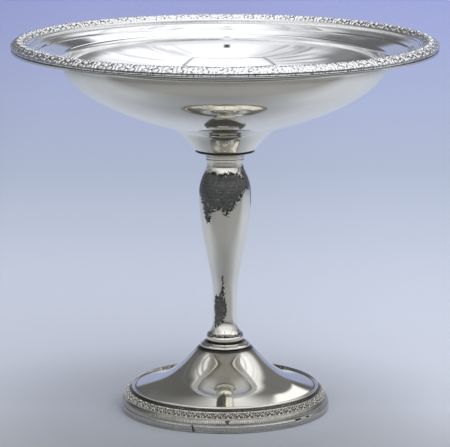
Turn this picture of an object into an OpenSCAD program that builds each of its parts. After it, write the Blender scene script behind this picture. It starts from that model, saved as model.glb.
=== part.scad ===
// Footed compote bowl: a shallow spun bowl on a hollow baluster stem and a
// weighted domed foot. A threaded rod runs up the middle and draws it together.
// Millimetres, +Z up, origin at the middle of the ring that the foot stands on.

/* [Bowl] */
// Outer diameter of the rim
rim_d = 159; // [130:1:200]
// Height of the bowl's wall above the middle of its underside
well_h = 28; // [20:0.5:40]
// Thickness of the spun sheet of the bowl
bowl_sheet = 0.9; // [0.6:0.1:1.4]
// Radius of the level middle of the bowl's curve
well_flat = 17; // [8:0.5:26]
// Height over which the bowl's wall rises into the brim
well_full = 15; // [10:0.5:20]
// Radius of the bend from the wall to the brim, underneath
brim_bend = 0.8; // [0.5:0.1:2]
// Width of the plain brim, from the wall to the step
brim_w = 9.4; // [6:0.2:14]
// Slope of the brim in degrees
brim_slope = 11.5; // [6:0.5:18]
// Height of the step from the brim to the land that carries the border
step_h = 1.1; // [0.6:0.1:1.6]
// Width of the step
step_w = 0.6; // [0.4:0.1:1]
// Width of the land that shows inside the border
land_w = 1.2; // [0.8:0.1:2]

/* [Rim border] */
// Width of the border
rim_border_w = 7.3; // [5:0.1:9]
// Height of the border's plain outer edge
rim_edge_h = 1.3; // [0.8:0.1:2]
// Height of the border's crest above its outer edge, before the carving
rim_crest_h = 1.95; // [0.8:0.1:2.4]
// Width of the plain inner moulding
rim_fillet_w = 1.1; // [0.6:0.1:1.6]
// Depth of the carving
rim_relief = 0.5; // [0.2:0.05:0.8]
// Number of leaves round the rim
rim_leaves = 56; // [40:1:60]

/* [Socket and cap] */
// Diameter of the flanges that meet under the bowl
flange_d = 22.2; // [18:0.2:28]
// Height of the socket from the flange to the middle of the bowl's underside
socket_h = 6; // [5:0.1:9]
// Diameter of the socket where it meets the bowl
socket_top_d = 42; // [34:0.5:48]
// Thickness of the socket's sheet
socket_sheet = 1; // [0.7:0.1:1.2]
// Height of the cap on top of the stem
cap_h = 5; // [4:0.1:7]
// Thickness of the cap's flange
flange_t = 0.5; // [0.4:0.1:0.8]
// Depth of the cap's spigot in the stem's neck
spigot_h = 3; // [2:0.5:6]

/* [Stem] */
// Height of the stem's shell
stem_h = 65.6; // [55:0.2:90]
// Diameter of the neck
neck_d = 13.6; // [12:0.2:16]
// Diameter of the belly
belly_d = 19.5; // [16:0.1:24]
// Diameter of the waist
waist_d = 9; // [8.6:0.1:12]
// Diameter of the stem's flared foot
stem_foot_d = 13.3; // [11.6:0.1:13.4]
// Distance of the belly below the neck
belly_drop = 12; // [9:0.5:16]
// Height of the waist above the stem's foot
waist_up = 8.5; // [6:0.5:12]
// Thickness of the stem's sheet
stem_sheet = 0.8; // [0.5:0.1:1]

/* [Collars] */
// Diameter of the bead under the stem
bead_d = 14.2; // [13.6:0.1:16]
// Height of the bead
bead_h = 2.4; // [1.6:0.1:3.4]
// Diameter of the wide collar on the foot
collar_d = 19; // [17.4:0.1:19.2]
// Height of the wide collar
collar_h = 2.2; // [1.6:0.1:3.2]
// Diameter of the groove between the two
groove_d = 13; // [12:0.1:13.4]

/* [Foot] */
// Diameter of the foot
foot_d = 78.8; // [68:0.2:96]
// Height of the foot, up to the wide collar
foot_h = 23.8; // [20:0.2:32]
// Diameter of the foot's level top
foot_top_d = 19.4; // [19.3:0.1:22]
// Height of the ring that the foot stands on
ring_h = 2.8; // [2:0.1:4]
// Width of that ring
ring_w = 1.8; // [1.4:0.1:2.6]
// Thickness of the foot's sheet
foot_sheet = 0.8; // [0.5:0.1:1]
// Height of the plain moulding above the ring
ovolo_h = 2.2; // [1.4:0.1:3]
// Width of the foot's border
foot_border_w = 4; // [3:0.1:5]
// Height that the foot climbs under its border
foot_border_rise = 3.6; // [2.4:0.1:4]
// Thickness of the border's strip
foot_strip = 0.65; // [0.5:0.05:1]
// Depth of the carving on the foot
foot_relief = 0.3; // [0.1:0.05:0.5]
// Number of leaves round the foot
foot_leaves = 44; // [30:1:50]

/* [Core and weight] */
// Diameter of the tie rod
rod_d = 5; // [4:0.5:5.5]
// Thickness of the base plate
plate_t = 0.7; // [0.5:0.1:1.2]
// Height of the base plate's rim above the table
plate_up = 2; // [1.8:0.1:3]
// Depth of the well in the base plate that hides the nut
plate_well = 7; // [6:0.5:9]
// Diameter of that well
plate_well_d = 24; // [20:0.5:28]
// Thickness of the washer
washer_t = 1; // [0.8:0.1:1.4]
// Diameter of the washer
washer_d = 15; // [11:0.5:16]
// Thickness of the felt pad
felt_t = 1.2; // [0.8:0.1:1.5]

/* [Fits] */
// Film of solder or cement between curved faces
film = 0.05; // [0.04:0.01:0.1]
// Clearance round the rod and the spigot
fit_gap = 0.1; // [0.05:0.05:0.2]

/* [Hidden] */
$fn = 144;
curve_steps = 14;
silver = "#c9c9c6";
steel = "#8d9196";
pitch = "#3a332d";
cement = "#b9b2a4";
brass = "#b99a4b";
felt = "#2f4437";

// Heights, from the table up
collar_z = foot_h;
bead_z = collar_z + collar_h;
stem_z = bead_z + bead_h;
cap_z = stem_z + stem_h;
joint_z = cap_z + cap_h;
bowl_z = joint_z + socket_h;

// A nut is 1.6 rods across its flats and 0.8 rods thick
nut_af = 1.6 * rod_d;
nut_t = 0.8 * rod_d;
rod_bore_d = rod_d + 2 * fit_gap;
plate_top = plate_up + plate_well;
washer_z = plate_top - plate_t - washer_t;
nut_z = washer_z - nut_t;
// What the rod stands out past the nut, and stops short of the bowl
rod_end = 0.6;
// Chamfer on the turned parts
edge = 0.3;
// Upright start of a sheet that stands on its neighbour
lip = 0.3;

// Points of a cubic curve from a to d, steered by b and c
function curve(a, b, c, d, steps = curve_steps) = [
    for (i = [0:steps])
        let (t = i / steps, s = 1 - t)
            s * s * s * a + 3 * s * s * t * b + 3 * s * t * t * c + t * t * t * d
];
// Points of an arc round c
function arc(c, r, from, to, steps = 6) = [
    for (i = [0:steps])
        let (a = from + (to - from) * i / steps)
            c + r * [cos(a), sin(a)]
];
function reversed(path) = [for (i = [len(path) - 1:-1:0]) path[i]];
function tail(path) = [for (i = [1:len(path) - 1]) path[i]];
function left(a, b) = let (d = (b - a) / norm(b - a)) [-d[1], d[0]];
// The path moved to its left by t, with mitred corners
function beside(path, t) = [
    for (i = [0:len(path) - 1])
        let (
            n1 = i > 0 ? left(path[i - 1], path[i]) : left(path[0], path[1]),
            n2 = i < len(path) - 1 ? left(path[i], path[i + 1]) : n1
        )
            path[i] + t * (n1 + n2) / (1 + n1 * n2)
];
// A sheet of thickness t on the left of a path
function sheet(path, t) = concat(path, reversed(beside(path, t)));
// The part of a path that lies between two heights
function between(path, low, high) = [for (p = path) if (p[1] > low && p[1] < high) p];
// Where a path that runs outward is, at a radius
function height_at(r, path) = lookup(r, path);
// Where a path that runs upward is, at a height
function radius_at(z, path) = lookup(z, [for (p = path) [p[1], p[0]]]);

// Outline of the bowl's underside, from the middle to the rim
land_r = rim_d / 2 - 0.2;
land_start = rim_d / 2 - rim_border_w - land_w;
brim_end = land_start - step_w;
wall_r = brim_end - brim_w;
wall_z = bowl_z + well_h;
// The very middle is level, so that the upper side starts on the axis too
level_r = 2;
well_path = concat(
    [[0, bowl_z]],
    curve([level_r, bowl_z], [well_flat, bowl_z], [wall_r, wall_z - well_full], [wall_r, wall_z], 30)
);
bend_path = arc([wall_r + brim_bend, wall_z], brim_bend, 180, 90 + brim_slope);
bend_end = bend_path[len(bend_path) - 1];
brim_z = bend_end[1] + (brim_end - bend_end[0]) * tan(brim_slope);
land_z = brim_z + step_h;
under_path = concat(
    well_path, tail(bend_path),
    [[brim_end, brim_z], [land_start, land_z], [land_r, land_z]]
);
border_z = land_z + bowl_sheet;

// Outline of the stem from its foot to its neck
waist_z = stem_z + waist_up;
belly_z = cap_z - belly_drop;
mid_z = (waist_z + belly_z) / 2;
mid_r = (waist_d + belly_d) / 4 - 0.1;
// How much the stem widens over its height, halfway up
mid_lean = 0.21;
waist_pull = (mid_z - waist_z) / 2;
belly_pull = (belly_z - mid_z) / 3;
stem_path = concat(
    [[stem_foot_d / 2, stem_z]],
    curve(
        [stem_foot_d / 2, stem_z + lip], [stem_foot_d / 2 - 1.5, stem_z + 0.9],
        [waist_d / 2, stem_z + waist_up / 2], [waist_d / 2, waist_z], 10
    ),
    tail(curve(
        [waist_d / 2, waist_z], [waist_d / 2, waist_z + waist_pull],
        [mid_r - mid_lean * waist_pull, mid_z - waist_pull], [mid_r, mid_z]
    )),
    tail(curve(
        [mid_r, mid_z], [mid_r + mid_lean * belly_pull, mid_z + belly_pull],
        [belly_d / 2, belly_z - belly_pull], [belly_d / 2, belly_z], 10
    )),
    tail(curve(
        [belly_d / 2, belly_z], [belly_d / 2, belly_z + 0.57 * belly_drop],
        [neck_d / 2, cap_z - 0.28 * belly_drop], [neck_d / 2, cap_z - lip], 10
    )),
    [[neck_d / 2, cap_z]]
);

// Outline of the foot's sheet from the ring up to its level top
foot_r = foot_d / 2;
shoulder_r = foot_r - 0.4;
strip_r = shoulder_r - 1.1;
strip_z = ring_h + ovolo_h;
dome_r = strip_r - foot_border_w;
dome_z = strip_z + foot_border_rise;
crown_r = foot_top_d / 2;
dome_span = dome_r - crown_r;
dome_rise = foot_h - dome_z;
// The dome is nearly level at its border, and steepest from its middle to the collar
border_fall = 0.41 * dome_rise;
upper_fall = 1.17 * dome_rise;
turn_r = crown_r + 0.434 * dome_span;
turn_z = dome_z + 0.36 * dome_rise;
foot_path = concat(
    [[shoulder_r, ring_h]],
    curve(
        [shoulder_r, ring_h + lip], [shoulder_r, ring_h + ovolo_h / 2],
        [strip_r + 0.8, strip_z - 0.3], [strip_r + 0.4, strip_z], 6
    ),
    [[strip_r, strip_z]],
    curve(
        [dome_r, dome_z], [dome_r - 0.33 * dome_span, dome_z + 0.33 * border_fall],
        [turn_r + 0.136 * dome_span, turn_z - 0.136 * upper_fall], [turn_r, turn_z], 12
    ),
    tail(curve(
        [turn_r, turn_z], [turn_r - 0.227 * dome_span, turn_z + 0.227 * upper_fall],
        [crown_r + 0.136 * dome_span, foot_h - 0.136 * upper_fall], [crown_r, foot_h], 12
    )),
    [[rod_bore_d / 2, foot_h]]
);

// Height of a carved leaf at a place across the border, both from 0 to 1
function leaf(turn, across) = 0.5 + 0.5 * cos(360 * (turn + 0.7 * abs(across - 0.5)));

// A carved ring: each section point is [r, z, share of the carving, place across]
module carved_ring(section, leaves, depth, lift) {
    steps = 5;
    n = leaves * steps;
    k = len(section);
    points = [
        for (j = [0:n - 1], p = section)
            let (
                carve = p[2] * depth * (leaf(j / steps, p[3]) - 0.5),
                r = p[0] + carve * lift[0],
                a = 360 * j / n
            )
                [r * cos(a), r * sin(a), p[1] + carve * lift[1]]
    ];
    faces = [
        for (j = [0:n - 1], i = [0:k - 1])
            let (
                a = j * k + i,
                b = j * k + (i + 1) % k,
                c = ((j + 1) % n) * k + (i + 1) % k,
                d = ((j + 1) % n) * k + i
            )
                each [[a, b, c], [a, c, d]]
    ];
    polyhedron(points, faces);
}

module revolved(path) {
    rotate_extrude()
        polygon(path);
}

module bowl() {
    color(silver)
        revolved(sheet(under_path, bowl_sheet));
}

module rim_border() {
    out_r = rim_d / 2;
    in_r = out_r - rim_border_w;
    edge_z = border_z + rim_edge_h;
    carved_w = rim_border_w - rim_fillet_w;
    carved_r = in_r + rim_fillet_w;
    crest = [
        for (v = [0.1, 0.3, 0.5, 0.7, 0.9])
            [carved_r + v * carved_w, edge_z + rim_crest_h * sin(180 * v) ^ 0.8, sin(180 * v), v]
    ];
    section = concat(
        [[out_r, border_z, 0, 0], [in_r, border_z, 0, 0], [in_r, edge_z, 0, 0]],
        [[carved_r, edge_z + 0.3, 0, 0]],
        crest,
        [[out_r, edge_z, 0, 0]]
    );
    color(silver)
        carved_ring(section, rim_leaves, rim_relief, [0, 1]);
}

module bowl_socket() {
    flange_r = flange_d / 2;
    top_r = socket_top_d / 2;
    top_z = height_at(top_r, well_path) - film;
    wall = curve(
        [flange_r, joint_z + edge], [flange_r + 1.8, joint_z + 1.6],
        [top_r - 5.6, top_z - 2.8], [top_r, top_z], 12
    );
    floor_z = joint_z + socket_sheet;
    lining = [
        for (p = reversed(beside(wall, socket_sheet)))
            if (p[1] < height_at(p[0], well_path) - 0.4 && p[1] > floor_z) p
    ];
    inner_r = lining[0][0] + 0.3;
    path = concat(
        [[rod_bore_d / 2, joint_z], [flange_r - edge, joint_z]],
        wall,
        [[inner_r, height_at(inner_r, well_path) - film]],
        lining,
        [[flange_r - socket_sheet, floor_z], [rod_bore_d / 2, floor_z]]
    );
    color(silver)
        revolved(path);
}

module socket_nut() {
    z0 = joint_z + socket_sheet;
    h = socket_h - socket_sheet - 0.3;
    color(brass)
        difference() {
            union() {
                translate([0, 0, z0])
                    cylinder(r = flange_d / 2 - socket_sheet - 0.8, h = 1);
                translate([0, 0, z0])
                    cylinder(d = 1.9 * rod_d, h = h);
            }
            translate([0, 0, z0 - 1])
                cylinder(d = rod_d + 2 * film, h = h + 2);
        }
}

module stem_cap() {
    r = neck_d / 2;
    top_r = flange_d / 2;
    path = concat(
        [[rod_bore_d / 2, cap_z - spigot_h]],
        [[spigot_r(), cap_z - spigot_h], [spigot_r(), cap_z], [r, cap_z]],
        arc([r - 0.1, cap_z + 0.3 * cap_h], 0.6, -80, 80),
        arc([r + 0.1, cap_z + 0.52 * cap_h], 0.5, -70, 70),
        curve(
            [r + 0.3, cap_z + 0.64 * cap_h], [r + 0.5, joint_z - flange_t - 0.5],
            [top_r - 1.6, joint_z - flange_t - 0.4], [top_r, joint_z - flange_t], 8
        ),
        [[top_r, joint_z - edge], [top_r - edge, joint_z], [rod_bore_d / 2, joint_z]]
    );
    color(silver)
        revolved(path);
}
// The spigot fits the narrowest part of the neck that it reaches
function spigot_r() = neck_d / 2 - stem_sheet - fit_gap;

module stem_shell() {
    lining = between(beside(stem_path, stem_sheet), stem_z, cap_z);
    path = concat(
        stem_path,
        [[neck_d / 2 - stem_sheet, cap_z]],
        reversed(lining),
        [[lining[0][0], stem_z]]
    );
    color(silver)
        revolved(path);
}

module stem_filler() {
    low = stem_z + 0.4;
    high = cap_z - spigot_h - 0.3;
    fill = beside(stem_path, stem_sheet + film);
    bore_r = rod_d / 2 + film;
    side = between(fill, low, high);
    path = concat(
        [[bore_r, low], [side[0][0], low]],
        side,
        [[radius_at(high, fill), high], [bore_r, high]]
    );
    color(pitch)
        revolved(path);
}

module tie_rod() {
    color(steel)
        translate([0, 0, nut_z - rod_end])
            cylinder(d = rod_d, h = bowl_z - nut_z);
}

module stem_bead() {
    r = bead_d / 2;
    path = concat(
        [[rod_bore_d / 2, bead_z], [groove_d / 2, bead_z]],
        curve(
            [groove_d / 2, bead_z + 0.2], [r + 0.2, bead_z + 0.3],
            [r + 0.2, stem_z - 0.2], [stem_foot_d / 2 - 0.1, stem_z - 0.1], 10
        ),
        [[stem_foot_d / 2 - 0.2, stem_z], [rod_bore_d / 2, stem_z]]
    );
    color(silver)
        revolved(path);
}

module foot_collar() {
    r = collar_d / 2;
    path = concat(
        [[rod_bore_d / 2, collar_z]],
        curve(
            [r - edge, collar_z], [r + 0.2, collar_z + 0.25 * collar_h],
            [r + 0.1, collar_z + 0.55 * collar_h], [r - 1.1, collar_z + 0.72 * collar_h], 8
        ),
        [[groove_d / 2, bead_z], [rod_bore_d / 2, bead_z]]
    );
    color(silver)
        revolved(path);
}

module foot_shell() {
    color(silver)
        revolved(sheet(foot_path, foot_sheet));
}

module foot_border() {
    run = [foot_border_w, foot_border_rise];
    slope = atan2(run[1], run[0]);
    up = [sin(slope), cos(slope)];
    function on_slope(v, rise) = let (p = [strip_r, strip_z] + v * [-run[0], run[1]] + rise * up) [p[0], p[1]];
    function point(v, rise, share, across) = let (p = on_slope(v, rise)) [p[0], p[1], share, across];
    bead_r = 0.45;
    bead = [
        for (a = [40, 100, 160])
            let (p = on_slope(0.9, foot_strip) + bead_r * [-cos(a + slope), sin(a + slope)])
                [p[0], p[1], 0, 0]
    ];
    section = concat(
        [point(0.98, film, 0, 0), point(0.02, film, 0, 0), point(0.02, foot_strip - 0.2, 0, 0)],
        [for (v = [0.1, 0.28, 0.46, 0.64]) point(v, foot_strip, 1 - abs(v - 0.37), (v - 0.1) / 0.54)],
        [point(0.74, foot_strip - 0.1, 0, 0)],
        reversed(bead)
    );
    color(silver)
        carved_ring(reversed(section), foot_leaves, foot_relief, up);
}

module foot_ring() {
    color(silver)
        revolved([
            [foot_r - ring_w, 0], [foot_r - edge, 0], [foot_r, edge],
            [foot_r, ring_h - edge], [foot_r - edge, ring_h], [foot_r - ring_w, ring_h],
        ]);
}

module foot_filler() {
    fill = beside(foot_path, foot_sheet + film);
    well_r = plate_well_d / 2 + film;
    low = plate_up + plate_t;
    in_ring = foot_r - ring_w - film;
    top_z = foot_h - foot_sheet - film;
    bore_r = rod_d / 2 + film;
    path = concat(
        [[well_r + 1, low], [in_ring, low], [in_ring, ring_h]],
        [for (p = fill) if (p[1] > ring_h && p[0] < in_ring && p[0] > bore_r + 1) p],
        [[bore_r, top_z], [bore_r, plate_top + film], [well_r, plate_top + film]]
    );
    color(cement)
        revolved(path);
}

module base_plate() {
    r = plate_well_d / 2;
    out_r = foot_r - ring_w - fit_gap;
    path = [
        [rod_bore_d / 2, plate_top - plate_t], [r - 1, plate_top - plate_t],
        [r, plate_up], [out_r, plate_up],
    ];
    color(steel)
        revolved(sheet(path, plate_t));
}

module rod_washer() {
    color(steel)
        translate([0, 0, washer_z])
            difference() {
                cylinder(d = washer_d, h = washer_t);
                translate([0, 0, -1])
                    cylinder(d = rod_bore_d, h = washer_t + 2);
            }
}

module rod_nut() {
    color(steel)
        translate([0, 0, nut_z])
            difference() {
                cylinder(d = nut_af / cos(30), h = nut_t, $fn = 6);
                translate([0, 0, -1])
                    cylinder(d = rod_d + 2 * film, h = nut_t + 2);
            }
}

module base_felt() {
    color(felt)
        translate([0, 0, plate_up - felt_t])
            cylinder(r = foot_r - ring_w - fit_gap, h = felt_t);
}

bowl();
rim_border();
bowl_socket();
socket_nut();
stem_cap();
stem_shell();
stem_filler();
tie_rod();
stem_bead();
foot_collar();
foot_shell();
foot_border();
foot_ring();
foot_filler();
base_plate();
rod_washer();
rod_nut();
base_felt();
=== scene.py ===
"""The looks of a footed compote bowl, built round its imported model. Profiles are in millimetres."""
import math

import bpy
import numpy as np
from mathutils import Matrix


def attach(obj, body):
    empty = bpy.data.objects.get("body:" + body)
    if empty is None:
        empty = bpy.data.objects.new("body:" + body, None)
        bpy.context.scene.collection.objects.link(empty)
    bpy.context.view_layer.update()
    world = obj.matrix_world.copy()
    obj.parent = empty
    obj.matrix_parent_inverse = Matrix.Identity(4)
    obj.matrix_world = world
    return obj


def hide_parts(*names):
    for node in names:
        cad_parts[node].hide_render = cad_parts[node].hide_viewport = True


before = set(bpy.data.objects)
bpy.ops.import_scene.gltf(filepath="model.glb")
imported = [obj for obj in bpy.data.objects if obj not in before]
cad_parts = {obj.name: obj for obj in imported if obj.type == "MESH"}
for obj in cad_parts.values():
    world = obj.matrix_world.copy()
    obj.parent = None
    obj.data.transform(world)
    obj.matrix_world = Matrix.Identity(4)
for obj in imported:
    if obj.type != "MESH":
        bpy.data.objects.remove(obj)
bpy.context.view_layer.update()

MM = 0.001
TURNS, BOWL_TURNS, FOOT_TURNS = 480, 720, 1440
FLUTES = 360


def curve(a, b, c, d, steps=40):
    """Points of a cubic curve from a to d, steered by b and c."""
    t = np.linspace(0, 1, steps + 1)[:, None]
    s = 1 - t
    a, b, c, d = (np.array(p, float) for p in (a, b, c, d))
    return s**3 * a + 3 * s * s * t * b + 3 * s * t * t * c + t**3 * d


def arc(centre, radius, start, end, steps=12):
    """Points of an arc, from one angle to another in degrees."""
    a = np.radians(np.linspace(start, end, steps + 1))
    return np.column_stack((centre[0] + radius * np.cos(a), centre[1] + radius * np.sin(a)))


def joined(*paths):
    """Joins points and paths into one, without repeats."""
    points = np.vstack([np.atleast_2d(np.array(p, float)) for p in paths])
    apart = np.linalg.norm(np.diff(points, axis=0), axis=1) > 1e-4
    return points[np.r_[True, apart]]


def beside(path, gap):
    """The path moved to its left, with mitred corners."""
    step = np.diff(path, axis=0)
    step /= np.linalg.norm(step, axis=1)[:, None]
    left = np.column_stack((-step[:, 1], step[:, 0]))
    before, after = np.vstack((left[:1], left)), np.vstack((left, left[-1:]))
    return path + gap * (before + after) / (1 + np.sum(before * after, axis=1))[:, None]


def rounded(path, radius, sharp=20, steps=4):
    """The path with each corner of more than so many degrees eased over a short length."""
    made = [path[0]]
    for before, corner, after in zip(path, path[1:], path[2:]):
        back, on = before - corner, after - corner
        lengths = np.linalg.norm(back), np.linalg.norm(on)
        turn = math.degrees(math.acos(np.clip(-np.dot(back, on) / lengths[0] / lengths[1], -1, 1)))
        if turn < sharp:
            made.append(corner)
            continue
        ease = min(radius, 0.45 * lengths[0], 0.45 * lengths[1])
        p, q = corner + back / lengths[0] * ease, corner + on / lengths[1] * ease
        for t in np.linspace(0, 1, steps + 1):
            made.append((1 - t) ** 2 * p + 2 * t * (1 - t) * corner + t * t * q)
    made.append(path[-1])
    return np.array(made)


def from_front(turns):
    """Degrees round from the front, -180 to 180, of each place along a turn."""
    angle = (np.degrees(np.linspace(0, 2 * np.pi, turns, endpoint=False)) + 90) % 360
    return np.where(angle > 180, angle - 360, angle)[None, :]


def rgba(tone):
    """A colour with alpha, from a grey or a colour."""
    return (*tone, 1) if isinstance(tone, tuple) else (tone, tone, tone, 1)


def shade_and_dirt(path, places, reach=0.35):
    """How dark each point of a path is painted, from a list of (place, strength): painted shade in creases,
    grooves and joints, with dirt round the foot's collar.
    """
    made = np.zeros((len(path), 1))
    for place, strength in places:
        gap = np.linalg.norm(path - place, axis=1)[:, None]
        made = np.maximum(made, strength * np.exp(-((gap / reach) ** 2)))
    return made


def lathe(name, path, material, nodes, turns=TURNS, push=None, fields=None, sharp=32):
    """Turns a closed, anticlockwise path round the axis. push moves points out along its normals."""
    path = np.asarray(path, float)
    fields = {"film": np.ones((1, 1)), **(fields or {})}
    along = np.roll(path, -1, axis=0) - np.roll(path, 1, axis=0)
    out = np.column_stack((along[:, 1], -along[:, 0]))
    out /= np.linalg.norm(out, axis=1)[:, None]
    angle = np.linspace(0, 2 * np.pi, turns, endpoint=False)
    offset = np.zeros((len(path), turns)) if push is None else push
    r = path[:, :1] + offset * out[:, :1]
    z = path[:, 1:] + offset * out[:, 1:]
    verts, rows, kept = [], [], []
    for i in range(len(path)):
        start = len(verts)
        if path[i, 0] < 1e-6:
            verts.append((0.0, 0.0, path[i, 1] * MM))
            rows.append([start] * turns)
            kept.append((i, 1))
        else:
            ring = np.column_stack((r[i] * np.cos(angle), r[i] * np.sin(angle), z[i])) * MM
            verts.extend(map(tuple, ring.tolist()))
            rows.append(list(range(start, start + turns)))
            kept.append((i, turns))
    faces = []
    for i in range(len(path)):
        low, high = rows[i], rows[(i + 1) % len(path)]
        if path[i, 0] < 1e-6 and path[(i + 1) % len(path), 0] < 1e-6:
            continue
        for j in range(turns):
            k = (j + 1) % turns
            faces.append(tuple(dict.fromkeys((low[j], low[k], high[k], high[j]))))
    mesh = bpy.data.meshes.new(name)
    mesh.from_pydata(verts, [], faces)
    mesh.shade_smooth()
    mesh.set_sharp_from_angle(angle=math.radians(sharp))
    for field, values in fields.items():
        layer = mesh.attributes.new(field, "FLOAT", "POINT")
        values = np.broadcast_to(values, (len(path), turns))
        flat = np.concatenate([values[i, :count] for i, count in kept])
        layer.data.foreach_set("value", flat.astype(np.float32))
    piece = bpy.data.objects.new(name, mesh)
    bpy.context.scene.collection.objects.link(piece)
    piece.data.materials.append(material)
    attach(piece, "root")
    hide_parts(*nodes)
    return piece


class Tree:
    """Builds a node tree a node at a time."""

    def __init__(self, tree):
        self.tree = tree
        tree.nodes.clear()

    def add(self, kind, settings=None, inputs=None, output=0):
        node = self.tree.nodes.new(kind)
        for key, value in (settings or {}).items():
            setattr(node, key, value)
        for key, value in (inputs or {}).items():
            socket = node.inputs[key]
            if isinstance(value, bpy.types.NodeSocket):
                self.tree.links.new(value, socket)
            else:
                socket.default_value = value
        return node.outputs[output] if output is not None else node

    def math(self, operation, a, b=0.0, clamp=False):
        return self.add("ShaderNodeMath", {"operation": operation, "use_clamp": clamp}, {0: a, 1: b})

    def noise(self, where, scale, detail=4.0, rough=0.5):
        inputs = {"Vector": where, "Scale": scale, "Detail": detail, "Roughness": rough}
        return self.add("ShaderNodeTexNoise", None, inputs)

    def spread(self, value, low, high, to_low=0.0, to_high=1.0, smooth=False):
        kind = {"interpolation_type": "SMOOTHSTEP" if smooth else "LINEAR"}
        inputs = {"Value": value, "From Min": low, "From Max": high, "To Min": to_low, "To Max": to_high}
        return self.add("ShaderNodeMapRange", kind, inputs)

    def mix(self, factor, a, b):
        inputs = {"Factor": factor, "A": a, "B": b}
        node = self.add("ShaderNodeMix", {"data_type": "RGBA"}, None, None)
        for key, value in inputs.items():
            socket = [s for s in node.inputs if s.name == key and s.enabled][0]
            if isinstance(value, bpy.types.NodeSocket):
                self.tree.links.new(value, socket)
            else:
                socket.default_value = value
        return [s for s in node.outputs if s.enabled][0]

    def vector(self, operation, a, b=(0, 0, 0), output=0):
        return self.add("ShaderNodeVectorMath", {"operation": operation}, {0: a, 1: b}, output)

    def parts(self, vector):
        return self.add("ShaderNodeSeparateXYZ", None, {"Vector": vector}, None).outputs

    def place(self):
        return self.add("ShaderNodeTexCoord", output=3)

    def attribute(self, name):
        return self.add("ShaderNodeAttribute", {"attribute_name": name}, None, 2)

    def bump(self, height, distance, normal=None):
        inputs = {"Height": height, "Distance": distance, "Strength": 1.0}
        if normal is not None:
            inputs["Normal"] = normal
        return self.add("ShaderNodeBump", None, inputs)

    def surface(self, shader, kind="ShaderNodeOutputMaterial"):
        self.add(kind, None, {"Surface": shader}, None)


def new_material(name):
    made = bpy.data.materials.new(name)
    made.use_nodes = True
    return made, Tree(made.node_tree)


def silver_base(t, wave):
    """Colour, roughness and normal of polished silver with fine wear, warmer under an aged film."""
    where = t.place()
    cloud = t.spread(t.noise(where, 45.0, 5.0), 0.35, 0.68)
    fine = t.spread(t.noise(where, 900.0, 3.0), 0.4, 0.7)
    clean = t.mix(cloud, (0.92, 0.92, 0.91, 1), (0.86, 0.86, 0.85, 1))
    aged = t.mix(cloud, (0.84, 0.82, 0.74, 1), (0.76, 0.735, 0.655, 1))
    colour = t.mix(t.attribute("film"), clean, aged)
    rough = t.math("ADD", t.spread(cloud, 0.0, 1.0, 0.03, 0.06), t.math("MULTIPLY", fine, 0.02))
    x, y, z = t.parts(where)
    radius = t.math("SQRT", t.math("ADD", t.math("MULTIPLY", x, x), t.math("MULTIPLY", y, y)))
    drift = t.math("MULTIPLY", cloud, 0.001)
    turned = t.noise(t.add("ShaderNodeCombineXYZ", None, {"X": radius, "Y": z, "Z": drift}), 1400.0, 2.0)
    normal = t.bump(t.noise(where, 70.0, 2.0), wave)
    normal = t.bump(turned, 0.000001, normal)
    return where, colour, rough, normal, turned


# Colour of old oxide in the relief's hollows, also used for painted shade in creases, grooves and joints
OXIDE_AND_SHADE = (0.03, 0.027, 0.024, 1)


def carved_silver(name, clean, black, specks, chasing):
    """Silver that darkens as its field of oxide and painted shade goes from clean to black: old oxide in the
    hollows of the relief, painted shade in creases, grooves, joints and on the far side.
    """
    made, t = new_material(name)
    where, colour, rough, normal, turned = silver_base(t, 0.00003)
    grain = t.spread(t.noise(where, 1500.0), 0.3, 0.7, -specks, specks)
    lines = t.spread(turned, 0.35, 0.65, -0.04, 0.04)
    depth = t.math("ADD", t.math("ADD", t.attribute("oxide_and_shade"), grain), lines)
    dark = t.spread(depth, clean, black, 0.0, 0.92, True)
    inputs = {
        "Base Color": t.mix(dark, colour, OXIDE_AND_SHADE),
        "Metallic": 1.0,
        "Roughness": t.math("ADD", t.math("MULTIPLY", rough, 1.2), t.math("MULTIPLY", dark, 0.3)),
        "Normal": t.bump(t.noise(where, 1500.0, 3.0, 0.6), chasing, normal),
    }
    t.surface(t.add("ShaderNodeBsdfPrincipled", None, inputs))
    return made


def tarnished_shaded_silver(name):
    """Silver with black, speckled tarnish where the piece's tarnish field is high; the field also carries
    painted shade at the stem's foot.
    """
    made, t = new_material(name)
    where, colour, rough, normal, turned = silver_base(t, 0.00005)
    ragged = t.spread(t.noise(where, 900.0, 6.0, 0.75), 0.3, 0.7, -0.3, 0.3)
    body = t.math("ADD", t.attribute("tarnish_and_shade"), ragged)
    patch = t.spread(body, 0.46, 0.54, smooth=True)
    cells = {"Vector": where, "Scale": 1200.0, "Randomness": 0.8}
    cells = t.add("ShaderNodeTexVoronoi", {"feature": "F1"}, cells)
    edge = t.spread(body, 0.58, 1.0, 1.0, 0.05, True)
    specks = t.math("MULTIPLY", t.spread(cells, 0.3, 0.45, 1.0, 0.0), edge)
    cover = t.math("MULTIPLY", patch, t.math("SUBTRACT", 1.0, specks), True)
    mottle = t.mix(0.55, t.spread(t.noise(where, 500.0, 5.0), 0.3, 0.7), t.spread(turned, 0.35, 0.65))
    tone = t.mix(mottle, (0.06, 0.06, 0.058, 1), (0.14, 0.14, 0.135, 1))
    rim = t.spread(body, 0.6, 0.95, smooth=True)
    tarnish_and_shade = t.mix(rim, (0.006, 0.006, 0.006, 1), tone)
    inputs = {
        "Base Color": t.mix(cover, colour, tarnish_and_shade),
        "Metallic": t.math("SUBTRACT", 1.0, t.math("MULTIPLY", cover, 0.6)),
        "Roughness": t.math("ADD", rough, t.math("MULTIPLY", cover, 0.3)),
        "Normal": t.bump(t.math("MULTIPLY", cover, mottle), 0.00008, normal),
    }
    t.surface(t.add("ShaderNodeBsdfPrincipled", None, inputs))
    return made


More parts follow.
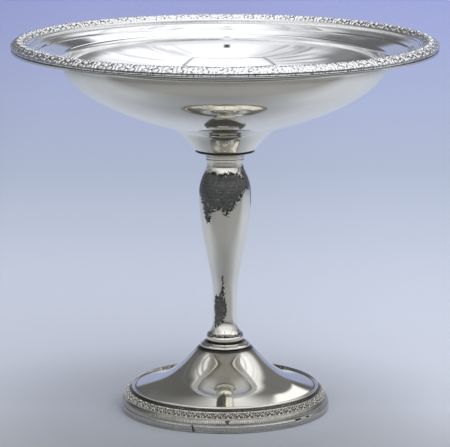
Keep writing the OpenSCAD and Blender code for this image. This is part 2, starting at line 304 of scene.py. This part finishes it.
def plain_metal(name, light, dark, rough):
    """A metal that is hidden or barely seen, with a little variation."""
    made, t = new_material(name)
    where = t.place()
    cloud = t.spread(t.noise(where, 120.0, 5.0), 0.35, 0.65)
    inputs = {
        "Base Color": t.mix(cloud, light, dark),
        "Metallic": 1.0,
        "Roughness": t.spread(cloud, 0.0, 1.0, rough, rough + 0.15),
        "Normal": t.bump(t.noise(where, 900.0), 0.00003),
    }
    t.surface(t.add("ShaderNodeBsdfPrincipled", None, inputs))
    return made


def rough_matter(name, light, dark, scale, height, sheen=0.0):
    """A dull, grainy material, such as pitch, cement or felt."""
    made, t = new_material(name)
    where = t.place()
    grain = t.noise(where, scale, 6.0, 0.65)
    inputs = {
        "Base Color": t.mix(t.spread(grain, 0.35, 0.65), light, dark),
        "Roughness": 0.92,
        "Sheen Weight": sheen,
        "Normal": t.bump(grain, height),
    }
    t.surface(t.add("ShaderNodeBsdfPrincipled", None, inputs))
    return made


# Heights and radii of the silver pieces, and the thickness of their sheets
BOWL_Z, WALL_Z, WALL_R = 105.0, 133.0, 61.0
BOWL_SHEET, SOCKET_SHEET, STEM_SHEET, FOOT_SHEET = 0.9, 1.0, 0.8, 0.8
BEND_R, BRIM_SLOPE = 0.8, math.radians(11.5)
BRIM_END, LAND_START, LAND_STEP, RIM_R = 70.4, 71.0, 1.1, 79.5
BRIM_Z = WALL_Z + BEND_R * math.cos(BRIM_SLOPE) + (
    BRIM_END - WALL_R - BEND_R + BEND_R * math.sin(BRIM_SLOPE)
) * math.tan(BRIM_SLOPE)
LAND_Z = BRIM_Z + LAND_STEP
BORDER_Z, BORDER_W = LAND_Z + BOWL_SHEET, 7.3
CAP_Z, JOINT_Z, FLANGE_R = 94.0, 99.0, 11.1
NECK_R, WAIST_R, SHOULDER_R = 6.8, 4.5, 9.75
STEM_Z, BEAD_Z, COLLAR_Z = 28.4, 26.0, 23.8
RING_R, RING_IN, RING_H = 39.4, 37.6, 2.8
BORE_R = 2.6

WELL = joined([0, BOWL_Z], curve([2, BOWL_Z], [17, BOWL_Z], [WALL_R, WALL_Z - 15], [WALL_R, WALL_Z], 110))


def bowl_paths():
    """Both sides of the bowl's sheet, from the middle to the rim."""
    bend = arc([WALL_R + BEND_R, WALL_Z], BEND_R, 180, 90 + math.degrees(BRIM_SLOPE))
    brim = np.column_stack((np.linspace(bend[-1, 0], BRIM_END, 24), np.linspace(bend[-1, 1], BRIM_Z, 24)))
    land = np.column_stack((np.linspace(LAND_START, RIM_R - 0.2, 30), np.full(30, LAND_Z)))
    under = joined(WELL, bend, brim, land)
    upper = beside(under, BOWL_SHEET)
    return under, upper


def make_bowl(material):
    under, upper = bowl_paths()
    path = rounded(joined(under, upper[::-1]), 0.25)
    outside = int(np.argmax(path[:, 0])) + 1
    film = (np.arange(len(path)) < outside).astype(float)[:, None]
    # Painted shade in the creases of the bend, brim and land, and two dark rings just below the bend painted
    # in place of its reflections
    creases = [
        ((BRIM_END, BRIM_Z), 0.9), ((LAND_START, LAND_Z), 0.9), ((RIM_R - 1.3, LAND_Z), 0.85),
        ((WALL_R + 0.4, WALL_Z + 0.6), 0.8),
    ]
    lines = [((WALL_R, WALL_Z - 1), 0.66), ((WALL_R, WALL_Z - 2.3), 0.6)]
    fields = {"film": film, "oxide_and_shade": np.maximum(shade_and_dirt(path, creases, 0.45), shade_and_dirt(path, lines, 0.5)) * film}
    return lathe("bowl_sheet", path, material, ["bowl"], BOWL_TURNS, fields=fields)


def dome(x, y, centre, size, turn=0.0):
    """An oval hump, 1 in its middle and 0 at its edge."""
    c, s = math.cos(math.radians(turn)), math.sin(math.radians(turn))
    dx, dy = x - centre[0], y - centre[1]
    p, q = (dx * c + dy * s) / size[0], (-dx * s + dy * c) / size[1]
    return np.sqrt(np.clip(1 - p * p - q * q, 0, None)), p, q


def leaf(x, y, centre, size, turn):
    """An oval leaf with a sunken midrib, cut veins and notched edges."""
    hump, p, q = dome(x, y, centre, size, turn)
    veins = 0.34 * np.cos(11 * p + 7 * np.abs(q)) * np.abs(q)
    return np.clip(hump * (1 - 0.5 * np.exp(-((q / 0.16) ** 2)) + veins), 0, 1)


def loop(x, y, centre, radius, width):
    """A round ridge."""
    across = (np.hypot(x - centre[0], y - centre[1]) - radius) / width
    return np.sqrt(np.clip(1 - across**2, 0, None))


def ornament(x, y, pitch, half):
    """Height of the border's flowers and leaves, 0 to 1, at x along it and y across it."""
    x = (x + pitch / 2) % pitch - pitch / 2
    made = np.zeros(np.broadcast(x, y).shape)
    u = half / 3.1
    for side in (-pitch, 0, pitch):
        for k in range(6):
            a = math.radians(60 * k + 30)
            centre = (side + 1.2 * u * math.cos(a), 1.2 * u * math.sin(a))
            made = np.maximum(made, 0.85 * leaf(x, y, centre, (0.82 * u, 0.6 * u), 60 * k + 30))
        made = np.maximum(made, dome(x, y, (side, 0), (0.52 * u, 0.52 * u))[0])
        for way in (-1, 1):
            for flip in (-1, 1):
                centre = (side + way * 2.75 * u, flip * 1.25 * u)
                made = np.maximum(made, 0.9 * leaf(x, y, centre, (1.35 * u, 0.62 * u), way * flip * 42))
                centre = (side + way * 1.5 * u, flip * 2.35 * u)
                made = np.maximum(made, 0.7 * leaf(x, y, centre, (0.95 * u, 0.42 * u), -way * flip * 12))
                berry = dome(x, y, (side + way * 3.1 * u, flip * 2.5 * u), (0.42 * u, 0.42 * u))[0]
                made = np.maximum(made, 0.75 * berry)
            made = np.maximum(made, 0.7 * loop(x, y, (side + way * 3.05 * u, 0), 0.8 * u, 0.24 * u))
        made = np.maximum(made, 0.8 * dome(x, y, (side + pitch / 2, 0), (0.36 * u, 1.1 * u))[0])
        for flip in (1, -1):
            made = np.maximum(made, 0.8 * dome(x, y, (side, flip * 2.75 * u), (0.5 * u, 0.36 * u))[0])
    return made


def foliage(x, y, pitch, half):
    """Height of the foot border's running leaves, 0 to 1, at x along it and y across it."""
    x = (x + pitch / 2) % pitch - pitch / 2
    u = half / 3.1
    along = 2 * math.pi * x / pitch
    vine = (y - 0.9 * u * np.sin(along)) / (0.34 * u)
    made = 0.6 * np.sqrt(np.clip(1 - vine**2, 0, None))
    for side in (-pitch, 0, pitch):
        for place, across, long, wide, turn in [
            (-0.42, 1.5, 1.25, 0.5, 35), (-0.31, -1.7, 1.3, 0.5, -52), (-0.2, 0.9, 1.2, 0.45, 75),
            (-0.06, -1.9, 1.1, 0.5, 20), (0.06, 2.2, 1.3, 0.5, 50), (0.15, -0.5, 1.2, 0.5, -30),
            (0.29, 1.9, 1.1, 0.45, -15), (0.33, -2.1, 1.2, 0.5, 65), (0.46, -0.8, 1.1, 0.45, -65),
        ]:
            centre = (side + place * pitch, across * u)
            made = np.maximum(made, leaf(x, y, centre, (long * u, wide * u), turn))
        for place, across in ((-0.12, 2.4), (0.22, -2.3), (0.4, 0.5), (-0.37, -0.2)):
            berry = dome(x, y, (side + place * pitch, across * u), (0.42 * u, 0.42 * u))[0]
            made = np.maximum(made, 0.85 * berry)
    return made


def carved(name, before, band, after, count, steps, depth, pattern, material, node, dark_places, film, painted_back_shade=0.0):
    """A turned strip whose band, a run of its path, carries a pattern.

    The pattern comes count times round, in steps points each. The listed places are painted darker, mostly
    with painted shade in grooves and under overhangs, and the last argument is how dark painted shade makes
    the far side.
    """
    path = joined(before, band, after)
    first = int(np.argmin(np.linalg.norm(path - band[0], axis=1)))
    turns = count * steps
    length = np.r_[0, np.cumsum(np.linalg.norm(np.diff(band, axis=0), axis=1))]
    middle = band[len(band) // 2, 0]
    pitch = 2 * math.pi * middle / count
    x = np.arange(turns)[None, :] * pitch / steps
    y = (length - length[-1] / 2)[:, None]
    height = pattern(x, y, pitch, length[-1] / 2)
    fade = np.clip(np.minimum(length, length[-1] - length) / 0.25, 0, 1)[:, None]
    push = np.zeros((len(path), turns))
    oxide_and_shade = np.repeat(shade_and_dirt(path, dark_places), turns, axis=1)
    rows = slice(first, first + len(band))
    push[rows] = depth * (height - 0.55) * fade
    oxide_and_shade[rows] = np.maximum((1 - height) * fade, oxide_and_shade[rows])
    # Painted shade on the far side, towards +Y
    back = np.clip(np.sin(np.linspace(0, 2 * np.pi, turns, endpoint=False)), 0, 1)
    oxide_and_shade = np.maximum(oxide_and_shade, painted_back_shade * back)
    fields = {"oxide_and_shade": oxide_and_shade, "film": np.full((1, 1), film)}
    return lathe(name, path, material, [node], turns, push, fields, 60)


def make_rim_border(material):
    edge_z = BORDER_Z + 1.3
    inner = RIM_R - BORDER_W
    v = np.linspace(1, 0, 44)
    crest = edge_z + 0.3 * (1 - v) + 1.75 * np.sin(np.pi * v) ** 0.8
    band = np.column_stack((inner + 1.1 + v * (BORDER_W - 1.1), crest))
    cove = curve(
        [RIM_R - 0.3, BORDER_Z + 0.1], [RIM_R - 0.75, BORDER_Z + 0.25],
        [RIM_R - 0.75, edge_z - 0.4], [RIM_R - 0.15, edge_z - 0.2], 10,
    )
    before = joined([inner, BORDER_Z + 0.02], [RIM_R - 0.35, BORDER_Z + 0.02], cove, [RIM_R, edge_z - 0.12])
    after = arc([inner + 0.55, edge_z - 0.1], 0.55, 40, 180, 10)
    # Painted shade in the cove under the relief's overhang
    grooves = [
        ((RIM_R - 0.45, BORDER_Z + 0.1), 1.5), ((RIM_R - 0.6, BORDER_Z + 0.5), 1.0),
        ((RIM_R - 0.5, edge_z - 0.35), 1.4),
    ]
    return carved(
        "rim_ornament", before, band, after, count=56, steps=48, depth=0.38, pattern=ornament,
        material=material, node="rim_border", dark_places=grooves, film=0.0,
    )


def make_foot_border(material):
    run = np.array([-4.0, 3.6])
    up = np.array([run[1], -run[0]]) / math.hypot(*run)
    start = np.array([37.9, 5.0])
    low, high = 0.02, 0.52

    def on_slope(share, rise):
        return start + share * run + rise * up

    shares = np.linspace(low, high, 30)
    band = np.array([on_slope(v, 0.6 + 0.3 * math.sin(math.pi * (v - low) / (high - low))) for v in shares])
    plain = [on_slope(v, 0.42) for v in (0.55, 0.62, 0.69, 0.76)]
    turn = math.degrees(math.atan2(up[1], up[0]))
    bead = arc(on_slope(0.87, 0.5), 0.58, turn - 80, turn + 110, 14)
    before = joined(on_slope(0.98, 0.05), on_slope(0.0, 0.05), on_slope(0.0, 0.5))
    # The sunken plain strip is painted dark, and painted shade darkens the border's far side
    dark_places = [(place, 0.82) for place in plain]
    return carved(
        "foot_ornament", before, band, joined(plain, bead), count=60, steps=36, depth=0.42, pattern=foliage,
        material=material, node="foot_border", dark_places=dark_places, film=1.0, painted_back_shade=0.95,
    )


def well_z(r):
    """Height of the bowl's underside at a radius."""
    return float(np.interp(r, WELL[:, 0], WELL[:, 1]))


def make_socket(material):
    corner = np.array([21.0, well_z(21.0)])
    wall = curve([FLANGE_R, JOINT_Z + 0.3], [12.9, JOINT_Z + 1.6], [15.4, corner[1] - 2.8], corner, 60)
    wall = wall[wall[:, 0] < 18.6]
    end = np.array([24.0, well_z(24.0)])
    t = np.linspace(0, 1, 14)[:, None]
    blend = (1 - t) ** 2 * wall[-1] + 2 * t * (1 - t) * corner + t * t * end
    inside = [23.6, well_z(23.6) + 0.2], [17.0, well_z(17.0) + 0.2]
    under = joined([BORE_R, JOINT_Z], [10.7, JOINT_Z], [10.85, JOINT_Z + 0.2], wall, blend)
    path = joined(under, *inside, [12.5, JOINT_Z + 2.2], [10.1, JOINT_Z + SOCKET_SHEET],
                  [BORE_R, JOINT_Z + SOCKET_SHEET])
    # Painted shade in the joint's gap under the flange
    fields = {"oxide_and_shade": shade_and_dirt(path, [((10.85, JOINT_Z + 0.1), 1.4)], 0.3)}
    return lathe("bowl_base", path, material, ["bowl_socket"], fields=fields)


def make_cap(material):
    path = joined(
        [BORE_R, CAP_Z - 3], [5.9, CAP_Z - 3], [5.9, CAP_Z], [NECK_R, CAP_Z],
        arc([6.7, CAP_Z + 1.5], 0.6, -80, 80),
        arc([6.9, CAP_Z + 2.6], 0.5, -70, 70),
        curve([7.1, CAP_Z + 3.2], [7.3, JOINT_Z - 1], [9.5, JOINT_Z - 0.9], [FLANGE_R, JOINT_Z - 0.5], 20),
        [FLANGE_R, JOINT_Z - 0.3], [10.8, JOINT_Z], [BORE_R, JOINT_Z],
    )
    path = rounded(path, 0.12)
    # Painted shade in the grooves beside the cap's beads and in the joint under the flange
    lines = [
        ((6.85, CAP_Z + 0.75), 0.6), ((6.95, CAP_Z + 2.1), 0.75), ((7.1, CAP_Z + 3.2), 0.6),
        ((FLANGE_R, JOINT_Z - 0.15), 1.5),
    ]
    fields = {"oxide_and_shade": shade_and_dirt(path, lines, 0.3)}
    return lathe("neck_cap", path, material, ["stem_cap"], fields=fields)


def outline_gap(x, y, corners):
    """How far inside a closed outline each point is, negative outside it."""
    corners = np.array(corners, float)
    near = np.full(np.broadcast(x, y).shape, 1e9)
    inside = np.zeros(near.shape, bool)
    for a, b in zip(corners, np.roll(corners, -1, axis=0)):
        run = b - a
        t = np.clip(((x - a[0]) * run[0] + (y - a[1]) * run[1]) / (run @ run), 0, 1)
        near = np.minimum(near, np.hypot(x - a[0] - t * run[0], y - a[1] - t * run[1]))
        rise = run[1] if abs(run[1]) > 1e-9 else 1e-9
        crosses = ((a[1] > y) != (b[1] > y)) & (x < a[0] + (y - a[1]) * run[0] / rise)
        inside ^= crosses
    return np.where(inside, near, -near)


# Outlines of the tarnish: degrees round from the front, and height. A degree of the stem is about
# so many millimetres wide.
MM_PER_DEGREE = 0.14
UPPER_STAIN = [
    (-105, 91.4), (-57, 91.2), (-30, 91.6), (-8, 90.8), (12, 91.8), (44, 91.2), (52, 93.6), (105, 93.8),
    (105, 82), (86, 77), (76, 79), (70, 84), (56, 83.4), (37, 81.8), (22, 78.5), (12, 76.5),
    (4.5, 74.6), (-5, 76.6), (-14, 78), (-25, 77.6), (-33, 76), (-37, 72.6), (-46, 72.2), (-52, 74.5),
    (-60, 79), (-70, 82), (-105, 84),
]
LOWER_STAIN = [
    (-8, 52.6), (-3, 50), (-5, 47), (-1, 44.5), (5, 42), (9, 39.5), (6, 36.5), (-4, 34), (-14, 33.4),
    (-30, 31.8), (-46, 30.8), (-60, 33), (-60, 42), (-48, 44.5), (-34, 44), (-20, 45.5), (-16, 48), (-12, 51),
]


def make_stem(material):
    waist, side, shoulder = [WAIST_R, 36.9], [7.0, 59.45], [SHOULDER_R, 82.0]
    outer = joined(
        [6.65, STEM_Z], curve([6.65, STEM_Z + 0.3], [5.15, 29.3], [WAIST_R, 32.65], waist),
        curve(waist, [WAIST_R, 48.175], [4.63225, 48.175], side),
        curve(side, [8.5785, 66.967], [SHOULDER_R, 74.483], shoulder),
        curve(shoulder, [SHOULDER_R, 88.84], [NECK_R, 90.64], [NECK_R, 93.7]), [NECK_R, CAP_Z],
    )
    inner = beside(outer, STEM_SHEET)
    inner = inner[(inner[:, 1] > STEM_Z) & (inner[:, 1] < CAP_Z)]
    path = joined(outer, [6.0, CAP_Z], inner[::-1], [inner[0, 0], STEM_Z])
    angle = from_front(TURNS)
    tarnish_and_shade = np.full((len(path), TURNS), -9.0)
    for dark_marks in (UPPER_STAIN, LOWER_STAIN):
        outline = [(MM_PER_DEGREE * a, z) for a, z in dark_marks]
        tarnish_and_shade = np.maximum(tarnish_and_shade, outline_gap(MM_PER_DEGREE * angle, path[:, 1:], outline))
    thin = np.exp(-(((angle - 55) / 14) ** 2) - ((path[:, 1:] - 86.5) / 6) ** 2)
    tarnish_and_shade = np.clip(0.5 + 0.3 * tarnish_and_shade - 0.5 * thin * (tarnish_and_shade > 0), 0, 1)
    # Darker at the stem's foot, reaching higher on the left and right sides: painted shade at the joint with
    # the bead, over a black stain
    reach = 0.7 + 2.2 * np.sin(np.radians(angle)) ** 4
    tarnish_and_shade = np.maximum(tarnish_and_shade, 0.66 - 0.3 * (path[:, 1:] - STEM_Z) / reach)
    fields = {"tarnish_and_shade": tarnish_and_shade}
    return lathe("stem_sheet", path, material, ["stem_shell"], fields=fields)


def make_bead(material):
    path = joined(
        [BORE_R, BEAD_Z], [6.5, BEAD_Z],
        curve([6.5, BEAD_Z + 0.2], [7.3, BEAD_Z + 0.3], [7.3, STEM_Z - 0.2], [6.55, STEM_Z - 0.1], 24),
        [6.45, STEM_Z], [BORE_R, STEM_Z],
    )
    # Painted shade in the joints under and over the bead
    fields = {"oxide_and_shade": shade_and_dirt(path, [((6.6, BEAD_Z + 0.1), 2.0), ((6.55, STEM_Z - 0.05), 1.3)])}
    return lathe("lower_bead", path, material, ["stem_bead"], fields=fields)


def make_collar(material):
    path = joined(
        [BORE_R, COLLAR_Z],
        curve([9.2, COLLAR_Z], [9.7, COLLAR_Z + 0.55], [9.6, COLLAR_Z + 1.21], [8.4, COLLAR_Z + 1.584], 24),
        [7.6, BEAD_Z - 0.24], [7.0, BEAD_Z - 0.11], [6.5, BEAD_Z], [BORE_R, BEAD_Z],
    )
    path = rounded(path, 0.15)
    # Painted shade in the joint with the bead, at the step on the collar and where the collar meets the foot
    creases = [((6.6, BEAD_Z), 1.8), ((7.5, BEAD_Z - 0.32), 1.0), ((9.2, COLLAR_Z), 2.4)]
    fields = {"oxide_and_shade": shade_and_dirt(path, creases, 0.5)}
    return lathe("wide_collar", path, material, ["foot_collar"], fields=fields)


def nick(path, turns, degrees, height, size, depth, lean=0.0, flare=0.0):
    """A small dent round a place, so many degrees from the front: its push and how much it is darkened."""
    above = path[:, 1:] - height
    across = np.radians(from_front(turns) - degrees) * path[:, :1] + lean * above
    share = np.exp(-((across / np.clip(size[0] + flare * above, 0.15, None)) ** 4) - (above / size[1]) ** 4)
    return -depth * share, share


def make_foot(material):
    outer = joined(
        [39, RING_H], curve([39, 3.1], [39, 3.9], [38.7, 4.7], [38.3, 5.0], 24), [37.9, 5.0],
        curve([33.9, 8.6], [25.9, 10.66], [23.5, 11.65], [20.2, 14.07], 60),
        curve([20.2, 14.07], [14.7, 18.11], [13.0, 21.38], [9.7, COLLAR_Z], 60), [BORE_R, COLLAR_Z],
    )
    path = joined(outer, beside(outer, FOOT_SHEET)[::-1])
    push, dark_marks = nick(path, FOOT_TURNS, 1.2, 4.2, (0.6, 1.3), 0.35, flare=0.45)
    outside = (path[:, :1] > 38.2) & (path[:, 1:] > 2.9)
    flutes = np.cos(np.linspace(0, 2 * FLUTES * np.pi, FOOT_TURNS, endpoint=False))[None, :]
    push = np.where(outside, push + 0.008 * flutes, 0)
    dark_marks = np.where(outside, np.maximum(1.6 * dark_marks, 0.72 + 0.06 * flutes), 0)
    rows = np.arange(len(path))[:, None] < len(outer)
    # Painted shade where the foot meets the collar and the border's bead, over dirt round the collar
    darkening = shade_and_dirt(path, [((9.8, 23.6), 1.4), ((33.9, 8.6), 0.9)], 0.55)
    darkening = darkening + 0.62 * np.exp(-(((path[:, :1] - 9.7) / 3.4) ** 4))
    dark_marks = np.maximum(dark_marks, darkening * rows)
    return lathe("foot_sheet", path, material, ["foot_shell"], FOOT_TURNS, push, {"oxide_and_shade": dark_marks})


def make_ring(material):
    ease = 0.3
    side = np.column_stack((np.full(14, RING_R), np.linspace(ease, RING_H - ease, 14)))
    ends = [RING_IN, 0], [RING_R - ease, 0], [RING_R - ease, RING_H], [RING_IN, RING_H]
    path = rounded(joined(*ends[:2], side, *ends[2:]), ease)
    push, dark_marks = np.zeros((len(path), FOOT_TURNS)), np.zeros((len(path), FOOT_TURNS))
    for degrees, height, size, depth, lean in [
        (-17.5, 1.4, (0.34, 1.9), 0.4, 0.26),
        (44, 2.5, (1.5, 0.5), 0.35, 0.0),
        (52, 2.6, (0.9, 0.45), 0.3, 0.0),
    ]:
        dent, darkening = nick(path, FOOT_TURNS, degrees, height, size, depth, lean)
        push, dark_marks = push + dent * (path[:, :1] > RING_R - 0.5), np.maximum(dark_marks, 1.5 * darkening)
    dark_marks = np.maximum(dark_marks, 0.64)
    return lathe("foot_wire", path, material, ["foot_ring"], FOOT_TURNS, push, {"oxide_and_shade": dark_marks})


def dress(names, material):
    """Gives CAD nodes a material."""
    for name in names:
        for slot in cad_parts[name].material_slots:
            slot.link = "OBJECT"
            slot.material = material


def ramp(t, value, stops):
    """A colour ramp of (place, grey or colour) stops, with places from 0 to 1."""
    node = t.add("ShaderNodeValToRGB", None, {"Fac": value}, None)
    marks = node.color_ramp.elements
    while len(marks) < len(stops):
        marks.new(0.5)
    for mark, (place, tone) in zip(marks, stops):
        mark.position = place
        mark.color = rgba(tone)
    return node.outputs[0]


def stage_floor():
    """A sweep that is pale round the object, near-black well in front of it and lavender far behind, with
    painted shadow on its left and painted light just right of the middle.
    """
    made, t = new_material("sweep")
    x, y, _ = t.parts(t.place())
    along = ramp(t, t.spread(y, -0.75, 1.35), [
        (0.0, 0.05), (0.11, (0.25, 0.25, 0.24)), (0.312, (0.31, 0.314, 0.326)), (0.355, (0.55, 0.58, 0.65)),
        (0.42, (0.545, 0.58, 0.665)), (0.6, (0.39, 0.44, 0.555)), (1.0, (0.345, 0.385, 0.7)),
    ])
    # Painted shadow to the left and painted light just right of the middle
    across = ramp(t, t.spread(x, -0.4, 0.4), [
        (0.0, 0.68), (0.36, 1.0), (0.5, 1.0), (0.6, 1.06), (0.78, 1.07), (1.0, 0.87),
    ])
    colour = t.vector("MULTIPLY", along, across)
    t.surface(t.add("ShaderNodeBsdfPrincipled", None, {"Base Color": colour, "Roughness": 0.9}))
    size = 4.0
    corners = [(-size, -size, 0), (size, -size, 0), (size, size, 0), (-size, size, 0)]
    mesh = bpy.data.meshes.new("sweep")
    mesh.from_pydata(corners, [], [(0, 1, 2, 3)])
    mesh.materials.append(made)
    floor = bpy.data.objects.new("sweep", mesh)
    bpy.context.scene.collection.objects.link(floor)


def stage_world():
    """A pale tent: white cloth overhead, greyer walls, and dim openings behind."""
    world = bpy.data.worlds.new("tent")
    bpy.context.scene.world = world
    world.use_nodes = True
    t = Tree(world.node_tree)
    way = t.add("ShaderNodeTexCoord", output=0)
    x, y, z = t.parts(way)
    height = t.math("DEGREES", t.math("ARCSINE", z))
    flat = t.vector("NORMALIZE", t.vector("MULTIPLY", way, (1, 1, 0)))
    turn = t.math("ARCTAN2", x, t.math("MULTIPLY", y, -1.0))
    room = ramp(t, t.spread(height, -10, 90), [
        (0.0, 0.22), (0.09, 0.24), (0.13, 0.42), (0.3, 0.42), (0.48, 0.6), (0.62, 0.8), (0.72, 1.0),
        (1.0, 1.0),
    ])

    def window(azimuth, half, low, high, soft, rise):
        """1 in a stretch of the tent, so many degrees from the front towards +X."""
        a = math.radians(azimuth)
        facing = t.vector("DOT_PRODUCT", flat, (math.sin(a), -math.cos(a), 0), 1)
        edges = [math.cos(math.radians(v)) for v in (half + soft / 2, max(half - soft / 2, 0))]
        within = t.spread(facing, *edges, smooth=True)
        over = t.spread(height, low - rise / 2, low + rise / 2, smooth=True)
        under = t.spread(height, high + rise / 2, high - rise / 2, smooth=True)
        return t.math("MULTIPLY", t.math("MULTIPLY", over, under), within)

    # Each area: azimuth and half width, lowest and highest elevation, softness across and up, and tone
    for *area, tone in [
        (5, 62, 5, 24, 40, 8, 0.7),
        (40, 75, 22, 70, 50, 20, 0.93),
        (-75, 35, 28, 75, 40, 16, 0.66),
        (-118, 26, 2, 46, 24, 14, 0.19),
        (-146, 27, 12, 57, 18, 10, 0.1),
        (126, 14, 1, 22, 22, 12, 0.2),
        (150, 19, 12, 51, 12, 10, 0.15),
        (180, 32, -12, 15.5, 24, 5, (0.29, 0.32, 0.45)),
        (180, 14, 15.5, 26, 6, 3, 0.1),
        (173.5, 8, 21.5, 38, 1.2, 2.5, 1.0),
        (-1.5, 2.2, 28, 45, 2.6, 9, 0.05),
    ]:
        room = t.mix(window(*area), room, rgba(tone))

    # Folds and seams in the cloth of both side walls
    folds = {"X": t.math("MULTIPLY", turn, 5.0), "Y": t.math("MULTIPLY", z, 0.6)}
    folds = t.add("ShaderNodeCombineXYZ", None, folds)
    crease = t.spread(t.noise(folds, 1.5, 3.0, 0.6), 0.44, 0.62, 0.0, 1.0, True)
    right = t.math("MULTIPLY", window(85, 45, 14, 66, 30, 20), 0.5)
    sides = t.math("ADD", window(-88, 40, 18, 70, 30, 20), right)
    room = t.mix(t.math("MULTIPLY", t.math("MULTIPLY", crease, sides), 0.8, True), room, rgba(0.2))
    seams = t.math("ADD", window(57, 0.8, 26, 71, 2, 4), window(-62, 0.8, 22, 69, 2, 4))
    room = t.mix(t.math("MULTIPLY", seams, 0.6), room, rgba(0.3))

    # A thin grey hem round the oblong cloth overhead
    beyond = [
        t.math("SUBTRACT", t.math("ABSOLUTE", t.math("ADD", t.math("DIVIDE", axis, z), shift)), reach)
        for axis, shift, reach in ((x, 0.03, 0.29), (y, 0.0, 0.165))
    ]
    hem = t.math("ABSOLUTE", t.math("MAXIMUM", *beyond))
    hem = t.math("MULTIPLY", t.spread(hem, 0.006, 0.018, 1.0, 0.0), t.spread(z, 0.8, 0.82))
    room = t.vector("MULTIPLY", t.mix(hem, room, rgba(0.25)), (0.985, 1.0, 1.045))
    light = t.add("ShaderNodeBackground", None, {"Color": room, "Strength": 1.32})
    t.surface(light, "ShaderNodeOutputWorld")


def lamp(name, place, target, size, power):
    """A soft rectangular lamp, aimed at a point, that the silver doesn't mirror."""
    data = bpy.data.lights.new(name, "AREA")
    data.shape = "RECTANGLE"
    data.size, data.size_y = size
    data.energy = power
    obj = bpy.data.objects.new(name, data)
    bpy.context.scene.collection.objects.link(obj)
    obj.location = place
    aim = np.array(target) - np.array(place)
    flat = math.hypot(aim[0], aim[1])
    obj.rotation_euler = (math.atan2(flat, -aim[2]), 0, math.atan2(aim[1], aim[0]) - math.pi / 2)
    obj.visible_glossy = False


def stage_camera():
    """The photo's view, as solved from the ellipses of the rim and the foot."""
    data = bpy.data.cameras.new("camera")
    data.lens = 215.1
    data.sensor_width = 36
    camera = bpy.data.objects.new("camera", data)
    bpy.context.scene.collection.objects.link(camera)
    camera.location = (0, -0.9908, 0.2685)
    camera.rotation_euler = (math.radians(78.72), 0, 0)
    bpy.context.scene.camera = camera


stage_camera()
stage_floor()
stage_world()
lamp("window", (0.6, -0.75, 1.3), (0, 0, 0.08), (0.7, 0.7), 2.5)
lamp("top", (0.1, 0.1, 1.6), (0, 0, 0.1), (0.6, 0.6), 6)

# Silver with fine wear, darkened by painted shade in its creases, grooves and joints
worn_and_shaded = carved_silver("worn_and_shaded_silver", 0.45, 0.9, 0.05, 0.000002)
make_bowl(worn_and_shaded)
make_rim_border(carved_silver("rim_silver", 0.94, 1.14, 0.3, 0.00003))
make_socket(worn_and_shaded)
make_cap(worn_and_shaded)
make_stem(tarnished_shaded_silver("stained_shaded_silver"))
make_bead(worn_and_shaded)
make_collar(worn_and_shaded)
make_foot(worn_and_shaded)
make_foot_border(carved_silver("foot_border_silver", 0.38, 0.85, 0.15, 0.00003))
make_ring(worn_and_shaded)
brass = plain_metal("brass", (0.7, 0.5, 0.2, 1), (0.5, 0.36, 0.16, 1), 0.3)
steel = plain_metal("steel", (0.5, 0.51, 0.52, 1), (0.38, 0.38, 0.39, 1), 0.35)
pitch = rough_matter("pitch", (0.05, 0.04, 0.03, 1), (0.03, 0.024, 0.02, 1), 300.0, 0.0001)
cement = rough_matter("cement", (0.5, 0.47, 0.4, 1), (0.38, 0.35, 0.3, 1), 500.0, 0.0002)
felt = rough_matter("felt", (0.03, 0.07, 0.045, 1), (0.02, 0.045, 0.03, 1), 2500.0, 0.0003, sheen=0.4)
dress(["socket_nut"], brass)
dress(["tie_rod", "rod_washer", "rod_nut", "base_plate"], steel)
dress(["stem_filler"], pitch)
dress(["foot_filler"], cement)
dress(["base_felt"], felt)

bpy.context.scene.view_settings.view_transform = "Standard"
